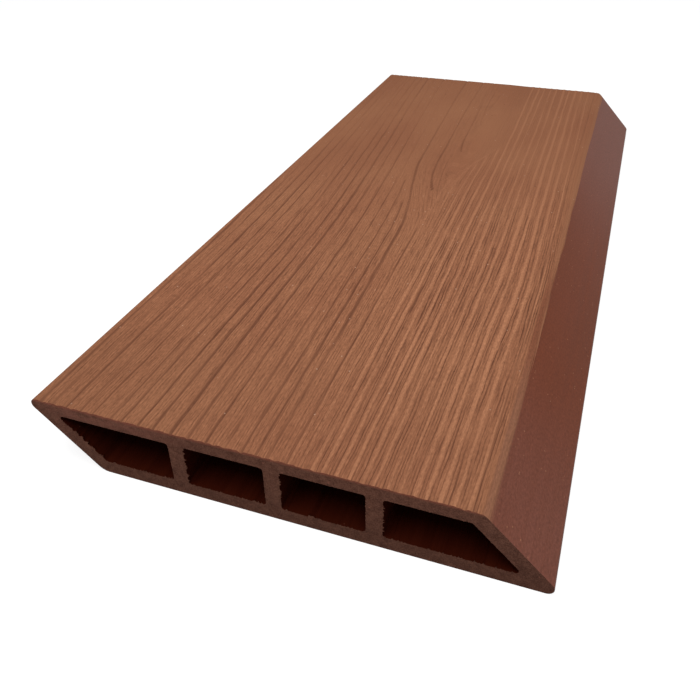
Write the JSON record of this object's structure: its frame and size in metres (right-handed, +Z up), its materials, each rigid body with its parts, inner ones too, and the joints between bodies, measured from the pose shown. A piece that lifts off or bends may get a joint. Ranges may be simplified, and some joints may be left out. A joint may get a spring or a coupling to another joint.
{
  "type": "composite fence board",
  "caption": "Short length of hollow wood-plastic composite fence board with slanting long edges, inner ribs and a grain-embossed face; stacks edge to edge between posts.",
  "frame": {"origin": "middle of the board's box, on the floor that its back face lies on", "axes": "+Y along the board, +X across it towards the lower tip, +Z up out of the grained face"},
  "size_m": [0.15, 0.345, 0.0225],
  "materials": {
    "composite": "red-brown wood-plastic composite: grain-embossed, brushed face; smooth satin edges; sawn ends"
  },
  "bodies": {
    "root": {"fence_board": "composite"}
  },
  "joints": []
}
